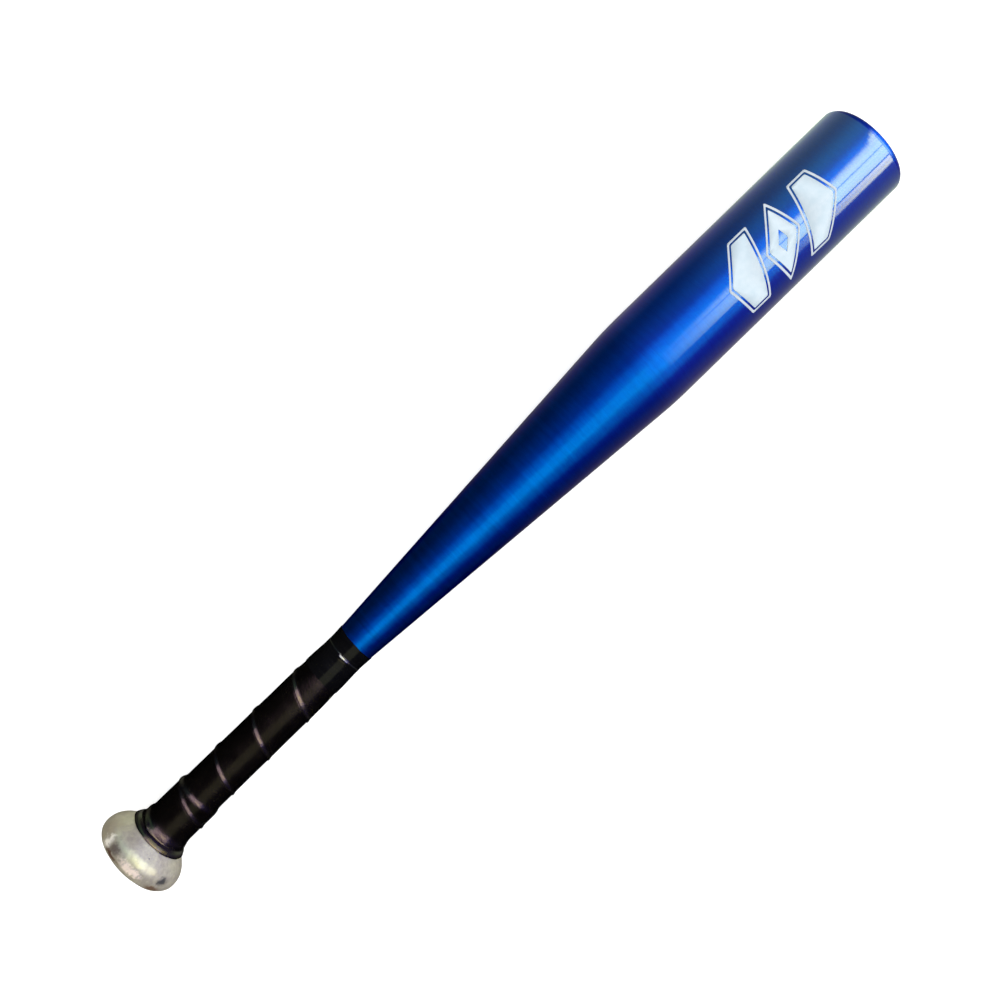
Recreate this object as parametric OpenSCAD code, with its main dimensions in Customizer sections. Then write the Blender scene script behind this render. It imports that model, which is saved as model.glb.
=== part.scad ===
// Short aluminium baseball bat, lying along X: knob at -X, barrel end at +X, Z up.
// One seamless tube tapers from barrel to handle. The barrel end is rolled in and closed by
// a rubber cap, and a cast knob is plugged into the handle and welded. A leather-look strip
// is wound over the handle and its end is bound down with vinyl tape.
// Lengths are in mm. Stations such as grip_end are measured from the knob's end face.

/* [Overall] */
// overall length, knob face to barrel end
length = 540; // [450:5:860]
// diameter of the straight barrel
barrel_d = 53.8; // [48:0.2:67]
// diameter of the bare handle
handle_d = 22; // [20:0.2:26]

/* [Tube] */
// station where the straight handle would meet the straight taper
taper_start = 158.4; // [120:0.2:260]
// station where the straight taper would meet the straight barrel
taper_end = 374; // [300:1:600]
// radius that blends the taper into the handle and the barrel
taper_blend = 240; // [50:10:600]
// wall of the barrel
barrel_wall = 1.8; // [1.2:0.1:3]
// wall of the handle, thicker because swaging gathers the metal
handle_wall = 2.5; // [1.8:0.1:4]

/* [Barrel end] */
// outside radius of the rolled corner
end_corner = 4.1; // [2.5:0.1:8]
// diameter of the recess the cap's face sits in
cap_seat_d = 34; // [20:1:44]
// diameter of the hole the cap's neck passes
cap_hole_d = 28; // [12:1:38]
// depth of the recess
cap_seat_depth = 1.8; // [1:0.1:4]

/* [Knob] */
// largest diameter of the knob
knob_d = 49.2; // [40:0.2:60]
// radius of the knob's lower edge
knob_edge = 5.5; // [3:0.1:10]
// radius of the knob's shoulder
knob_shoulder = 11.8; // [6:0.1:20]
// station where the neck's flare runs out into the handle
neck_end = 29.6; // [22:0.2:40]
// hollow radius of the neck's flare
neck_flare = 13.4; // [6:0.1:24]
// how far the knob's spigot reaches into the tube
spigot_length = 26; // [12:1:50]

/* [Grip] */
// station of the grip's lower edge, on the knob's neck
band_start = 18.7; // [14:0.1:30]
// station where the square-wound first turn ends
band_end = 51; // [30:0.5:70]
// station of the spiral turns' lower edge
wrap_start = 22.2; // [20:0.1:40]
// station where the spiral strip ends, under the tape
wrap_end = 148; // [100:1:250]
// width of the strip
strip_width = 33; // [20:0.5:50]
// thickness of the strip
strip_thick = 1; // [0.6:0.1:2.5]
// thickness left at the strip's pared edges
strip_edge = 0.4; // [0.2:0.05:1]
// share of the thickness left where the strip's end is skived to go under the tape
end_skive = 0.25; // [0.15:0.05:1]
// station where that skiving starts
skive_start = 133; // [90:1:240]
// station of the first visible seam, on top of the handle
seam_first = 43; // [30:0.5:60]
// pitch at the first seam
seam_pitch = 23.4; // [15:0.2:40]
// growth of the pitch from turn to turn
seam_growth = 1.2; // [0:0.1:3]

/* [Finishing tape] */
// station where the tape's upper turn starts
tape_start = 139; // [100:1:250]
// station where the upper turn ends
tape_step = 156; // [110:1:260]
// station where the lower turn ends
tape_end = 165; // [115:1:270]
// thickness of the tape
tape_thick = 0.15; // [0.1:0.05:0.5]

/* [Printed marks] */
// station of the middle of the print
print_station = 466; // [420:1:500]
// pitch of the three marks along the barrel
mark_pitch = 26; // [15:0.5:40]
// size of the marks around the barrel
mark_height = 34; // [10:0.5:45]
// width of each mark along the barrel
mark_width = 18.6; // [8:0.2:30]
// how far the print is turned down from the top of the barrel, mm of arc
print_turn = 5; // [-20:0.5:20]
// slant of the marks, degrees
mark_slant = 19; // [0:1:35]
// unprinted gap between a mark and its border line
border_gap = 1.1; // [0.4:0.1:3]
// width of the border line
border_width = 1.15; // [0.4:0.05:3]
// thickness of the ink
ink = 0.12; // [0.05:0.01:0.3]

/* [Hidden] */
$fn = 96;
fit_gap = 0.05;
lap_gap = 0.08;

handle_r = handle_d / 2;
barrel_r = barrel_d / 2;
knob_r = knob_d / 2;
bore_r = handle_r - handle_wall;
inside_r = barrel_r - barrel_wall;
taper_angle = atan2(barrel_r - handle_r, taper_end - taper_start);
tube_start = neck_end + 1.4;
spigot_r = bore_r - fit_gap;

// points of an arc about (cx, cy), from angle a0 to a1 in n steps
function arc(cx, cy, r, a0, a1, n) =
    [for (i = [0 : n]) let (a = a0 + (a1 - a0) * i / n) [cx + r * cos(a), cy + r * sin(a)]];

// arc that rounds the corner at station s between slopes a and b, both in degrees
// corner lies at height h, and the arc has radius r
function blend(s, h, a, b, r, n) =
    let (
        t = r * tan(abs(b - a) / 2),
        x0 = s - t * cos(a),
        y0 = h - t * sin(a),
        side = b > a ? 1 : -1,
        cx = x0 - side * r * sin(a),
        cy = y0 + side * r * cos(a)
    )
    arc(cx, cy, r, a - side * 90, b - side * 90, n);

// straight line between two of the profile's stations
function on_line(x, x0, y0, x1, y1) = y0 + (y1 - y0) * (x - x0) / (x1 - x0);

// height of an open profile at station x
function height(p, x, i = 0) =
    i >= len(p) - 2 || x <= p[i + 1][0]
    ? on_line(x, p[i][0], p[i][1], p[i + 1][0], p[i + 1][1])
    : height(p, x, i + 1);

// ---- metal profiles, as [station, radius] ----

tube_outside = concat(
    [[tube_start, handle_r]],
    blend(taper_start, handle_r, 0, taper_angle, taper_blend, 6),
    blend(taper_end, barrel_r, taper_angle, 0, taper_blend, 6),
    arc(length - end_corner, barrel_r - end_corner, end_corner, 90, 0, 12)
);
inner_corner = end_corner - barrel_wall;
tube_inside = concat(
    arc(length - end_corner, barrel_r - end_corner, inner_corner, 0, 90, 8),
    [[taper_end + 2, inside_r], [taper_start - 2, bore_r], [tube_start, bore_r]]
);
lip = [
    [length, cap_seat_d / 2],
    [length - cap_seat_depth, cap_seat_d / 2],
    [length - cap_seat_depth, cap_hole_d / 2],
    [length - cap_seat_depth - barrel_wall, cap_hole_d / 2],
    [length - cap_seat_depth - barrel_wall, cap_seat_d / 2 + barrel_wall],
    [length - barrel_wall, cap_seat_d / 2 + barrel_wall]
];

// the shoulder's circle and the neck's hollow circle share an inner tangent
shoulder_c = [knob_edge, knob_r - knob_shoulder];
neck_c = [neck_end, handle_r + neck_flare];
span = norm(neck_c - shoulder_c);
tangent_a = atan2(neck_c[1] - shoulder_c[1], neck_c[0] - shoulder_c[0])
    + acos((knob_shoulder + neck_flare) / span);
knob_outside = concat(
    arc(knob_edge, knob_r - knob_edge, knob_edge, 180, 90, 12),
    arc(shoulder_c[0], shoulder_c[1], knob_shoulder, 90, tangent_a, 14),
    arc(neck_c[0], neck_c[1], neck_flare, tangent_a + 180, 270, 12)
);

// radius of the bare metal at station x
function metal(x) = x < neck_end ? height(knob_outside, x)
    : x < tube_start + 1 ? handle_r : height(tube_outside, x);

// ---- soft layers ----

// top of the square-wound first turn, pared towards both edges
function band_top(x) =
    metal(x) + fit_gap + strip_thick
    * min(1, 0.55 + (x - band_start) * 0.45, max(0.15, (band_end - x) / 4));

// what the spiral strip lies on
function under_wrap(x) =
    x < band_end ? max(band_top(x), metal(x)) + fit_gap
    : metal(x) + 0.2 + fit_gap - 0.15 * min(1, (x - band_end) / 3);

// stations for layered profiles
function steps(a, b, n) = [for (i = [0 : n]) a + (b - a) * i / n];

// ---- spiral strip ----

turn_steps = 28;
chord = 1 / cos(180 / turn_steps);
function edge_at(t) = seam_first + seam_pitch * t + seam_growth * t * t;
function turn_at(x) =
    (-seam_pitch + sqrt(seam_pitch * seam_pitch + 4 * seam_growth * (x - seam_first)))
    / (2 * seam_growth);
first_turn = turn_at(wrap_start) - 1;
last_turn = turn_at(wrap_end - 2.5);

// the strip climbs over its own cut end where the second turn begins
function lift(t) = min(1, max(0, (t - first_turn - 0.93) / 0.07));
function overlap_at(t) = strip_width - (edge_at(t) - edge_at(t - 1));

// share of the strip's thickness left at station x
skive_length = 9;
function skive(x) =
    1 - (1 - end_skive) * min(1, max(0, (x - skive_start) / skive_length));

// underside and top of the strip above what it lies on, s mm from its knob-side edge,
// where k is the share of the thickness left
function strip_low(s, ov, up, k) =
    s < ov ? up * (k * on_line(s, 0, strip_thick, ov, strip_edge) + lap_gap)
    : s < ov + 1.6 ? up * (k * strip_edge + lap_gap) * (ov + 1.6 - s) / 1.6 : 0;
function strip_high(s, ov, ov2, up, k) =
    s > strip_width - ov2
    ? k * on_line(s, strip_width - ov2, strip_thick, strip_width, strip_edge)
    : k * strip_thick + up * (
        s < ov ? k * strip_edge + lap_gap * (ov - s) / ov
        : s < ov + 4 ? k * strip_edge * (ov + 4 - s) / 4 : 0);

// points of the strip's section at turn t: along the underside, then back over the top
function strip_section(t) =
    let (
        e = edge_at(t),
        ov = overlap_at(t),
        ov2 = overlap_at(t + 1),
        up = lift(t),
        mid = strip_width - ov2 - ov - 4,
        marks = [0, ov / 2, ov, ov + 1.6, ov + 4, ov + 4 + mid / 3, ov + 4 + mid * 2 / 3,
            strip_width - ov2, strip_width],
        last = len(marks) - 1,
        low_s = max(0, wrap_start - e),
        high_s = min(strip_width, wrap_end - e),
        kept = [for (i = [0 : last])
            min(max(marks[i], low_s + i * 0.1), high_s - (last - i) * 0.1)]
    )
    concat(
        [for (i = [0 : last]) let (x = e + kept[i])
            [x, (under_wrap(x) + strip_low(kept[i], ov, up, skive(x))) * chord]],
        [for (i = [last : -1 : 0]) let (x = e + kept[i])
            [x, (under_wrap(x) + strip_high(kept[i], ov, ov2, up, skive(x))) * chord]]
    );

module spiral_strip() {
    n = ceil((last_turn - first_turn) * turn_steps);
    sections = [for (i = [0 : n]) strip_section(first_turn + i / turn_steps)];
    m = len(sections[0]);
    points = [for (i = [0 : n]) let (a = 360 * (first_turn + i / turn_steps))
        each [for (q = sections[i]) [q[0], q[1] * sin(a), q[1] * cos(a)]]];
    sides = [for (i = [0 : n - 1]) each [for (j = [0 : m - 1])
        let (k = (j + 1) % m)
        each [[i * m + j, i * m + k, (i + 1) * m + k],
            [i * m + j, (i + 1) * m + k, (i + 1) * m + j]]]];
    // each end is closed between the underside and the top, so that no face is a sliver
    start = [for (i = [0 : m / 2 - 2]) let (j = m - 1 - i)
        each [[j, i + 1, i], [j, j - 1, i + 1]]];
    finish = [for (f = start) [n * m + f[2], n * m + f[1], n * m + f[0]]];
    polyhedron(points = points, faces = concat(sides, start, finish), convexity = 8);
}

// ---- printed marks ----

// moves each side of a closed clockwise outline outwards by d, keeping its corners sharp
function grown(p, d) = [for (i = [0 : len(p) - 1])
    let (
        n = len(p),
        a = p[i] - p[(i + n - 1) % n],
        b = p[(i + 1) % n] - p[i],
        na = [-a[1], a[0]] / norm(a),
        nb = [-b[1], b[0]] / norm(b)
    )
    p[i] + d * (na + nb) / (1 + na * nb)];

// cuts each side of an outline into k, so that it bends with the barrel
function cut_sides(p, k) = [for (i = [0 : len(p) - 1]) for (j = [0 : k - 1])
    p[i] + (p[(i + 1) % len(p)] - p[i]) * j / k];

// from the flat artwork, [along, around], to the plan of the barrel's top
function on_barrel(p, at) = [for (q = cut_sides(p, 6))
    let (v = q[1] + print_turn, a = v / barrel_r * 180 / PI)
    [at + q[0] - q[1] * tan(mark_slant), -barrel_r * sin(a)]];

module ink_shape(p, at) {
    polygon(on_barrel(p, at));
}

// one mark with its border line; hole is an optional unprinted middle
module mark(p, at, hole) {
    intersection() {
        station(0)
            difference() {
                cylinder(h = length, r = barrel_r + ink);
                translate([0, 0, -1])
                    cylinder(h = length + 2, r = barrel_r);
            }
        lying()
            linear_extrude(height = 2 * barrel_r)
                difference() {
                    ink_shape(grown(p, border_gap + border_width), at);
                    difference() {
                        ink_shape(grown(p, border_gap), at);
                        ink_shape(p, at);
                    }
                    if (len(hole) > 0)
                        ink_shape(hole, at);
                }
    }
}

half_w = mark_width / 2;
half_h = mark_height / 2;
plate = [[-half_w, half_h], [0, half_h], [half_w, 0], [0, -half_h], [-half_w, -half_h]];
plate_back = [for (i = [len(plate) - 1 : -1 : 0]) [-plate[i][0], plate[i][1]]];
diamond = [[0, half_h], [half_w, 0], [0, -half_h], [-half_w, 0]];
diamond_hole = diamond * 0.34;

// ---- placing: the part's frame has its origin under the middle of the bat ----

module lying() {
    translate([-length / 2, 0, barrel_r])
        children();
}

// turns a solid drawn along Z onto the bat's axis, from station s
module station(s) {
    lying()
        translate([s, 0, 0])
            rotate([0, 90, 0])
                children();
}

// solid of revolution from a closed outline of [station, radius] points
module turned(p) {
    station(0)
        rotate_extrude()
            polygon([for (q = p) [q[1], q[0]]]);
}

// ---- pieces ----

module barrel_tube() {
    color([0.03, 0.2, 0.75])
        turned(concat(tube_outside, lip, tube_inside));
}

module end_cap() {
    seat = length - cap_seat_depth;
    neck_r = cap_hole_d / 2 - fit_gap;
    face_r = cap_seat_d / 2 - 2 * fit_gap;
    back = seat - barrel_wall - fit_gap;
    catch_r = neck_r + 1.6;
    color([0.06, 0.06, 0.07])
        turned(concat(
            [[seat + fit_gap, neck_r], [seat + fit_gap, face_r]],
            arc(length - 1.2, face_r - 0.8, 0.8, 90, 0, 4),
            [[length - 0.4, face_r - 2.4], [length - 0.2, 0], [back - 2, 0], [back - 2, 9],
            [back - 7, 9.6], [back - 7, neck_r - 2], [back - 2, catch_r], [back, catch_r],
            [back, neck_r]]
        ));
}

module knob() {
    shank_end = tube_start + spigot_length;
    color([0.78, 0.78, 0.76])
        turned(concat(
            [[0, 0]],
            knob_outside,
            [[tube_start - fit_gap, handle_r - 1.3], [tube_start - fit_gap, spigot_r],
            [shank_end - 1.5, spigot_r], [shank_end, spigot_r - 1.5], [shank_end, 4.5],
            [tube_start, 4.5], [tube_start - 3, 0]]
        ));
}

module weld_bead() {
    crown = handle_r + 0.02;
    color([0.7, 0.7, 0.7])
        turned([
            [neck_end + 0.1, handle_r - 0.1],
            [neck_end + 0.1, crown],
            [tube_start - fit_gap, crown],
            [tube_start - fit_gap, handle_r - 1.2]
        ]);
}

module grip_start_band() {
    s = steps(band_start, band_end, 30);
    color([0.05, 0.05, 0.05])
        turned(concat(
            [for (x = s) [x, band_top(x)]],
            [for (i = [len(s) - 1 : -1 : 0]) [s[i], metal(s[i]) + fit_gap]]
        ));
}

module grip_wrap() {
    color([0.07, 0.07, 0.07])
        lying()
            spiral_strip();
}

module finishing_tape() {
    fall = 3;
    // top of the leather where one turn laps over another
    function lapped(x) =
        (under_wrap(x) + skive(x) * (strip_thick + strip_edge) + lap_gap) * chord;
    function under(x) = fit_gap
        + (x < wrap_end ? lapped(x)
        : x < wrap_end + fall
        ? metal(x) + (lapped(wrap_end) - metal(wrap_end)) * (wrap_end + fall - x) / fall
        : metal(x));
    low = steps(tape_start, tape_end, 26);
    function top(x) = under(x) + tape_thick * (x < tape_step ? 2 : 1);
    color([0.02, 0.02, 0.02])
        turned(concat(
            [for (x = low) [x, top(x)]],
            [for (i = [len(low) - 1 : -1 : 0]) [low[i], under(low[i])]]
        ));
}

module print_left() {
    color([0.85, 0.92, 1])
        mark(plate_back, print_station - mark_pitch, []);
}

module print_middle() {
    color([0.85, 0.92, 1])
        mark(diamond, print_station, diamond_hole);
}

module print_right() {
    color([0.85, 0.92, 1])
        mark(plate, print_station + mark_pitch, []);
}

barrel_tube();
end_cap();
knob();
weld_bead();
grip_start_band();
grip_wrap();
finishing_tape();
print_left();
print_middle();
print_right();
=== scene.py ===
import math

import bmesh
import bpy
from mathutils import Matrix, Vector, noise
from mathutils.geometry import tessellate_polygon


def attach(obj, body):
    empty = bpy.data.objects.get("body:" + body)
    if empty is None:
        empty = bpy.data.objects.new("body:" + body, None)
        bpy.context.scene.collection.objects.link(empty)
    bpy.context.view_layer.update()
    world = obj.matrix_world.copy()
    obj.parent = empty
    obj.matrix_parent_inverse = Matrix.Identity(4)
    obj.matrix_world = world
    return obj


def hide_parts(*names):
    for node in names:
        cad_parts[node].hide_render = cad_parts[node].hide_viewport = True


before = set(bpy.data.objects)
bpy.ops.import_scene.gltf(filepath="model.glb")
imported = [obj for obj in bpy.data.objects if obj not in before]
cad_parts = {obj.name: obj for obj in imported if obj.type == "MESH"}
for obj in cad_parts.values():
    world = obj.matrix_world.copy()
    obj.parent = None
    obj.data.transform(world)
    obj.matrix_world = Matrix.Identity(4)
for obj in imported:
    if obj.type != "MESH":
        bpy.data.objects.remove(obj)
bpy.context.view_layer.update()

# Stations and radii are in mm from the knob's end face, as in the CAD.
LENGTH = 540.0
BARREL_R = 26.9
HANDLE_R = 11.0
KNOB_R = 24.6
KNOB_EDGE = 5.5
KNOB_SHOULDER = 11.8
NECK_END = 29.6
NECK_FLARE = 13.4
TUBE_START = 31.0
TAPER = (158.4, 374.0)
TAPER_BLEND = 240.0
END_CORNER = 4.1
BARREL_WALL = 1.8
HANDLE_WALL = 2.5
CAP_SEAT_R = 17.0
CAP_HOLE_R = 14.0
CAP_DEPTH = 1.8
SPIGOT_LENGTH = 26.0
BLIND_BORE_R = 4.5
FIT_GAP = 0.05
AXIS_Z = BARREL_R
# segments around the axis
TUBE_SEGS = 256
KNOB_SEGS = 192
SEGS = 160


# ---------------------------------------------------------------- geometry helpers

def arc(cx, cy, r, a0, a1, n):
    """Points of an arc about (cx, cy) from angle a0 to a1, in degrees."""
    out = []
    for i in range(n + 1):
        a = math.radians(a0 + (a1 - a0) * i / n)
        out.append((cx + r * math.cos(a), cy + r * math.sin(a)))
    return out


def corner(s, h, a, b, r, n):
    """Arc of radius r rounding the corner at (s, h) between slopes a and b in degrees."""
    t = r * math.tan(math.radians(abs(b - a)) / 2)
    ra = math.radians(a)
    x0, y0 = s - t * math.cos(ra), h - t * math.sin(ra)
    side = 1 if b > a else -1
    cx, cy = x0 - side * r * math.sin(ra), y0 + side * r * math.cos(ra)
    return arc(cx, cy, r, a - side * 90, b - side * 90, n)


def interp(points, x):
    """Height at x of a line through points, which run from left to right."""
    for (x0, y0), (x1, y1) in zip(points, points[1:]):
        if x <= x1:
            return y0 + (y1 - y0) * (x - x0) / (x1 - x0) if x1 > x0 else y1
    return points[-1][1]


def smooth(x):
    """0 to 1 along an S curve."""
    x = min(1.0, max(0.0, x))
    return x * x * (3 - 2 * x)


def ease(x):
    """0 to 1 along a straight ramp with short rounded ends."""
    return 0.7 * min(1.0, max(0.0, x)) + 0.3 * smooth(x)


def densify(points, step):
    """Splits the long sides of an outline so that no side is longer than step."""
    out = []
    for a, b in zip(points, points[1:]):
        n = max(1, math.ceil(math.dist(a, b) / step))
        out += [(a[0] + (b[0] - a[0]) * i / n, a[1] + (b[1] - a[1]) * i / n) for i in range(n)]
    return out + [points[-1]]


def place(s, y, z):
    """From bat coordinates in mm to the frame in metres."""
    return ((s - LENGTH / 2) / 1000, y / 1000, (z + AXIS_Z) / 1000)


def around(s, r, a):
    """A point at station s, radius r and angle a from the top, turning towards +Y."""
    return place(s, r * math.sin(a), r * math.cos(a))


SHARP = math.radians(50)


def finish_mesh(name, verts, faces, materials, sharp=SHARP):
    """A smooth-shaded piece of the bat, with edges over the angle sharp left sharp."""
    me = bpy.data.meshes.new(name)
    me.from_pydata(verts, [], faces)
    me.validate()
    bm = bmesh.new()
    bm.from_mesh(me)
    bmesh.ops.recalc_face_normals(bm, faces=bm.faces)
    bm.to_mesh(me)
    bm.free()
    ob = bpy.data.objects.new(name, me)
    bpy.context.collection.objects.link(ob)
    for m in materials:
        me.materials.append(m)
    me.shade_smooth()
    me.set_sharp_from_angle(angle=sharp)
    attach(ob, "root")
    return ob


def lathe(name, outline, segs, materials, wobble=None, sharp=SHARP):
    """Solid of revolution of a closed outline of (station, radius) points.

    wobble moves each point: it takes and gives station and radius, and is told the angle.
    """
    verts, faces, n = [], [], len(outline)
    for i in range(segs):
        a = 2 * math.pi * i / segs
        for s, r in outline:
            if wobble and r > 0:
                s, r = wobble(s, r, a)
            verts.append(around(s, r, a))
    for i in range(segs):
        k = (i + 1) % segs
        for j in range(n):
            m = (j + 1) % n
            faces.append((i * n + j, i * n + m, k * n + m, k * n + j))
    ob = finish_mesh(name, verts, faces, materials, sharp)
    bm = bmesh.new()
    bm.from_mesh(ob.data)
    bmesh.ops.remove_doubles(bm, verts=bm.verts, dist=1e-7)
    bmesh.ops.recalc_face_normals(bm, faces=bm.faces)
    bm.to_mesh(ob.data)
    bm.free()
    ob.data.set_sharp_from_angle(angle=sharp)
    return ob


# ---------------------------------------------------------------- profiles

slope = math.degrees(math.atan2(BARREL_R - HANDLE_R, TAPER[1] - TAPER[0]))
tube_outside = (
    [(TUBE_START, HANDLE_R)]
    + corner(TAPER[0], HANDLE_R, 0, slope, TAPER_BLEND, 16)
    + corner(TAPER[1], BARREL_R, slope, 0, TAPER_BLEND, 16)
    + arc(LENGTH - END_CORNER, BARREL_R - END_CORNER, END_CORNER, 90, 0, 16)
)
shoulder_c = (KNOB_EDGE, KNOB_R - KNOB_SHOULDER)
neck_c = (NECK_END, HANDLE_R + NECK_FLARE)
tangent = math.degrees(
    math.atan2(neck_c[1] - shoulder_c[1], neck_c[0] - shoulder_c[0])
    + math.acos((KNOB_SHOULDER + NECK_FLARE) / math.dist(neck_c, shoulder_c))
)
knob_outside = (
    arc(KNOB_EDGE, KNOB_R - KNOB_EDGE, KNOB_EDGE, 180, 90, 16)
    + arc(*shoulder_c, KNOB_SHOULDER, 90, tangent, 22)[1:]
    + arc(*neck_c, NECK_FLARE, tangent + 180, 270, 18)
)


def metal(s):
    """Radius of the bare metal at station s."""
    if s < NECK_END:
        return interp(knob_outside, s)
    return HANDLE_R if s < TUBE_START + 1 else interp(tube_outside, s)


# ---------------------------------------------------------------- node material helpers

class Nodes:
    """Small helper that builds one node tree: a new material's, or the one given."""

    def __init__(self, name, tree=None):
        if tree is None:
            self.mat = bpy.data.materials.new(name)
            self.mat.use_nodes = True
            tree = self.mat.node_tree
            self.b = tree.nodes["Principled BSDF"]
        self.t = tree

    def add(self, kind, **props):
        n = self.t.nodes.new(kind)
        for k, v in props.items():
            setattr(n, k, v)
        return n

    def link(self, a, b):
        self.t.links.new(a, b)

    def value(self, socket, v):
        if isinstance(v, (int, float, tuple, list)):
            socket.default_value = v
        else:
            self.link(v, socket)

    def coords(self):
        return self.add("ShaderNodeTexCoord").outputs["Object"]

    def scaled(self, vec, scale, loc=(0, 0, 0)):
        n = self.add("ShaderNodeMapping")
        n.inputs["Scale"].default_value = scale
        n.inputs["Location"].default_value = loc
        self.link(vec, n.inputs["Vector"])
        return n.outputs["Vector"]

    def noise(self, vec, scale, detail=3.0, rough=0.5, distortion=0.0):
        n = self.add("ShaderNodeTexNoise")
        self.link(vec, n.inputs["Vector"])
        n.inputs["Scale"].default_value = scale
        n.inputs["Detail"].default_value = detail
        n.inputs["Roughness"].default_value = rough
        n.inputs["Distortion"].default_value = distortion
        return n.outputs["Fac"]

    def voronoi(self, vec, scale, feature="F1"):
        n = self.add("ShaderNodeTexVoronoi", feature=feature)
        self.link(vec, n.inputs["Vector"])
        n.inputs["Scale"].default_value = scale
        return n.outputs["Distance"]

    def math(self, op, a, b=0.0, c=0.0, clamp=False):
        n = self.add("ShaderNodeMath", operation=op, use_clamp=clamp)
        for s, v in zip(n.inputs, (a, b, c)):
            self.value(s, v)
        return n.outputs[0]

    def product(self, *factors):
        total = factors[0]
        for factor in factors[1:]:
            total = self.math("MULTIPLY", total, factor)
        return total

    def weigh(self, *terms):
        """Sum of terms, each a value and its weight."""
        total = self.math("MULTIPLY", *terms[0])
        for v, weight in terms[1:]:
            total = self.math("ADD", total, self.math("MULTIPLY", v, weight))
        return total

    def map(self, v, a, b, c=0.0, d=1.0, kind="LINEAR"):
        """c to d as v goes from a to b, and held beyond both ends."""
        n = self.add("ShaderNodeMapRange", interpolation_type=kind)
        for s, x in zip(n.inputs, (v, a, b, c, d)):
            self.value(s, x)
        return n.outputs[0]

    def mix(self, fac, a, b, blend="MIX"):
        n = self.add("ShaderNodeMix", data_type="RGBA", blend_type=blend)
        self.value(n.inputs[0], fac)
        self.value(n.inputs[6], a)
        self.value(n.inputs[7], b)
        return n.outputs[2]

    def band(self, v, a, b, c, d):
        """1 between b and c, falling smoothly to 0 at a and at d."""
        rise = self.map(v, a, b, 0.0, 1.0, "SMOOTHSTEP")
        return self.product(rise, self.map(v, c, d, 1.0, 0.0, "SMOOTHSTEP"))

    def bell(self, v, centre, width):
        """1 at the centre, falling to 1/e at width on either side."""
        q = self.math("DIVIDE", self.math("SUBTRACT", v, centre), width)
        return self.math("EXPONENT", self.product(q, q, -1.0))

    def spot(self, vec, centre, size):
        """Distance from a centre given in mm of station, y and z from the axis: 1 at size mm."""
        shifted = self.add("ShaderNodeVectorMath", operation="SUBTRACT")
        self.link(vec, shifted.inputs[0])
        shifted.inputs[1].default_value = place(*centre)
        scaled = self.add("ShaderNodeVectorMath", operation="DIVIDE")
        self.link(shifted.outputs[0], scaled.inputs[0])
        scaled.inputs[1].default_value = [q / 1000 for q in size]
        length = self.add("ShaderNodeVectorMath", operation="LENGTH")
        self.link(scaled.outputs[0], length.inputs[0])
        return length.outputs["Value"]

    def bump(self, height, strength, distance, normal=None):
        n = self.add("ShaderNodeBump")
        n.inputs["Strength"].default_value = strength
        n.inputs["Distance"].default_value = distance
        self.link(height, n.inputs["Height"])
        if normal is not None:
            self.link(normal, n.inputs["Normal"])
        return n.outputs["Normal"]

    def set(self, **kw):
        for k, v in kw.items():
            self.value(self.b.inputs[k.replace("_", " ")], v)


def rgb(r, g, b):
    return (r, g, b, 1.0)


# ---------------------------------------------------------------- materials

# painted reflections on the knob, put into its colour: the cream patches are painted highlights
# and the brown and dark ones painted reflections of dark things in the room, with one small
# near-black spot; centre (station, y, height over the axis), size in mm, colour, strength
PAINTED_REFLECTIONS = [
    ((9.0, 19.5, 13.0), (9.0, 5.0, 9.0), rgb(0.27, 0.215, 0.15), 0.55),
    ((5.3, 15.2, 17.5), (4.4, 3.0, 6.0), rgb(0.92, 0.86, 0.70), 0.95),
    ((6.7, 10.0, 21.5), (3.6, 4.8, 6.0), rgb(0.10, 0.075, 0.06), 0.85),
    ((5.9, -2.2, 23.8), (2.4, 8.5, 8.0), rgb(0.86, 0.72, 0.55), 1.0),
    ((9.2, -18.4, 13.5), (2.8, 2.8, 6.0), rgb(0.05, 0.05, 0.045), 0.95),
    ((3.6, -17.5, 17.0), (2.4, 6.5, 6.0), rgb(0.16, 0.09, 0.045), 0.95),
    ((3.1, 10.0, 21.5), (1.5, 8.0, 6.0), rgb(0.10, 0.05, 0.025), 1.0),
]


def candy_blue():
    """Circumferentially brushed aluminium under translucent blue lacquer and clear coat."""
    m = Nodes("candy_blue_lacquer")
    v = m.coords()
    strokes = m.noise(m.scaled(v, (1500, 300, 300)), 1.0, 3.0, 0.6)
    fine = m.noise(m.scaled(v, (6000, 500, 500)), 1.0, 2.0, 0.6)
    bands = m.noise(m.scaled(v, (420, 14, 14)), 1.0, 3.0, 0.6)
    cloud = m.noise(v, 30.0, 3.0, 0.55)
    h = m.weigh((strokes, 0.6), (fine, 0.4), (bands, 0.8))
    shade = m.weigh((bands, 0.5), (cloud, 0.2), (strokes, 0.3))
    colour = m.mix(m.map(shade, 0.36, 0.64), rgb(0.0, 0.062, 0.41), rgb(0.0, 0.090, 0.53))
    m.set(Base_Color=colour, Metallic=1.0, Anisotropic=0.95, Anisotropic_Rotation=0.25)
    m.set(Roughness=m.map(bands, 0.3, 0.7, 0.35, 0.41))
    m.set(Coat_Weight=1.0, Coat_Roughness=0.03, Coat_IOR=1.5)
    m.set(Specular_Tint=rgb(0.05, 0.1, 0.9))
    m.link(m.bump(h, 0.5, 0.00004), m.b.inputs["Normal"])
    rings = m.noise(m.scaled(v, (900, 330, 330)), 1.0, 2.0, 0.55)
    m.link(m.bump(rings, 0.25, 0.00005), m.b.inputs["Coat Normal"])
    around_axis = m.add("ShaderNodeTangent", direction_type="RADIAL", axis="X")
    m.link(around_axis.outputs[0], m.b.inputs["Tangent"])
    return m.mat


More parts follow.
